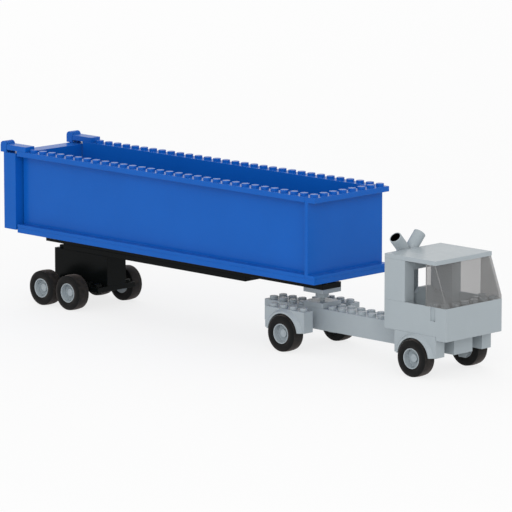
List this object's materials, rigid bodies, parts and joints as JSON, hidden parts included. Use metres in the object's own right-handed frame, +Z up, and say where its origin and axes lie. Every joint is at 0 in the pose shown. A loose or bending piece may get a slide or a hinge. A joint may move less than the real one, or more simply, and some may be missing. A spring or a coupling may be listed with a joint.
{
  "type": "toy dump truck",
  "caption": "Toy construction-brick dump truck: grey tractor with a slanted smoke windscreen, pinned to a black-framed trailer with a blue tipping bed and top-hung tailgate.",
  "frame": {"origin": "on the ground under the middle of the toy's length and width", "axes": "+X forward, towards the tractor's bonnet; +Y to the toy's left; +Z up"},
  "size_m": [0.3668, 0.0638, 0.1011],
  "materials": {
    "blue_plastic": "gloss",
    "grey_plastic": "gloss",
    "black_plastic": "gloss",
    "tyre_rubber": "matte",
    "smoke_clear_plastic": "clear gloss"
  },
  "bodies": {
    "tractor": {"chassis_beam": "grey_plastic", "hitch_base": "grey_plastic", "cab_tub": "grey_plastic", "cab_header": "grey_plastic", "cab_roof": "grey_plastic", "windscreen": "smoke_clear_plastic", "seat": "grey_plastic", "rear_fender_right": "grey_plastic", "rear_fender_left": "grey_plastic", "front_fender_right": "grey_plastic", "front_fender_left": "grey_plastic", "cab_side_right": "grey_plastic", "cab_side_left": "grey_plastic", "stack_right": "grey_plastic", "stack_left": "grey_plastic"},
    "trailer_frame": {"frame_beam": "black_plastic", "frame_upper": "black_plastic", "frame_lower": "black_plastic", "bogie_block": "black_plastic", "axle_carrier": "black_plastic", "hitch_head": "grey_plastic", "tip_knuckle": "black_plastic"},
    "bed": {"bed_floor": "blue_plastic", "bed_front": "blue_plastic", "tip_ears": "blue_plastic", "bed_side_right": "blue_plastic", "bed_side_left": "blue_plastic", "hinge_tile_right": "blue_plastic", "hinge_tile_left": "blue_plastic"},
    "tailgate": {"tailgate": "blue_plastic", "gate_hinge_right": "blue_plastic", "gate_hinge_left": "blue_plastic"},
    "wheel_front_right": {"tyre_front_right": "tyre_rubber", "hub_front_right": "grey_plastic"},
    "wheel_front_left": {"tyre_front_left": "tyre_rubber", "hub_front_left": "grey_plastic"},
    "wheel_drive_right": {"tyre_drive_right": "tyre_rubber", "hub_drive_right": "grey_plastic"},
    "wheel_drive_left": {"tyre_drive_left": "tyre_rubber", "hub_drive_left": "grey_plastic"},
    "wheel_bogie_fore_right": {"tyre_bogie_fore_right": "tyre_rubber", "hub_bogie_fore_right": "grey_plastic"},
    "wheel_bogie_fore_left": {"tyre_bogie_fore_left": "tyre_rubber", "hub_bogie_fore_left": "grey_plastic"},
    "wheel_bogie_aft_right": {"tyre_bogie_aft_right": "tyre_rubber", "hub_bogie_aft_right": "grey_plastic"},
    "wheel_bogie_aft_left": {"tyre_bogie_aft_left": "tyre_rubber", "hub_bogie_aft_left": "grey_plastic"}
  },
  "joints": [
    {"name": "hitch_yaw", "type": "hinge", "parent": "tractor", "child": "trailer_frame", "pos_m": [0.0635, 0, 0.0286], "axis": [0, 0, 1], "range_deg": [-80, 80]},
    {"name": "bed_tip", "type": "hinge", "parent": "trailer_frame", "child": "bed", "pos_m": [-0.1645, 0, 0.0417], "axis": [0, -1, 0], "range_deg": [0, 40]},
    {"name": "tailgate_swing", "type": "hinge", "parent": "bed", "child": "tailgate", "pos_m": [-0.1808, 0, 0.0985], "axis": [0, 1, 0], "range_deg": [0, 70]},
    {"name": "wheel_front_right_spin", "type": "hinge", "parent": "tractor", "child": "wheel_front_right", "pos_m": [0.1595, -0.0228, 0.011], "axis": [0, 1, 0], "continuous": true},
    {"name": "wheel_front_left_spin", "type": "hinge", "parent": "tractor", "child": "wheel_front_left", "pos_m": [0.1595, 0.0228, 0.011], "axis": [0, 1, 0], "continuous": true},
    {"name": "wheel_drive_right_spin", "type": "hinge", "parent": "tractor", "child": "wheel_drive_right", "pos_m": [0.0555, -0.0228, 0.011], "axis": [0, 1, 0], "continuous": true},
    {"name": "wheel_drive_left_spin", "type": "hinge", "parent": "tractor", "child": "wheel_drive_left", "pos_m": [0.0555, 0.0228, 0.011], "axis": [0, 1, 0], "continuous": true},
    {"name": "wheel_bogie_fore_right_spin", "type": "hinge", "parent": "trailer_frame", "child": "wheel_bogie_fore_right", "pos_m": [-0.1285, -0.0228, 0.011], "axis": [0, 1, 0], "continuous": true},
    {"name": "wheel_bogie_fore_left_spin", "type": "hinge", "parent": "trailer_frame", "child": "wheel_bogie_fore_left", "pos_m": [-0.1285, 0.0228, 0.011], "axis": [0, 1, 0], "continuous": true},
    {"name": "wheel_bogie_aft_right_spin", "type": "hinge", "parent": "trailer_frame", "child": "wheel_bogie_aft_right", "pos_m": [-0.1525, -0.0228, 0.011], "axis": [0, 1, 0], "continuous": true},
    {"name": "wheel_bogie_aft_left_spin", "type": "hinge", "parent": "trailer_frame", "child": "wheel_bogie_aft_left", "pos_m": [-0.1525, 0.0228, 0.011], "axis": [0, 1, 0], "continuous": true}
  ]
}
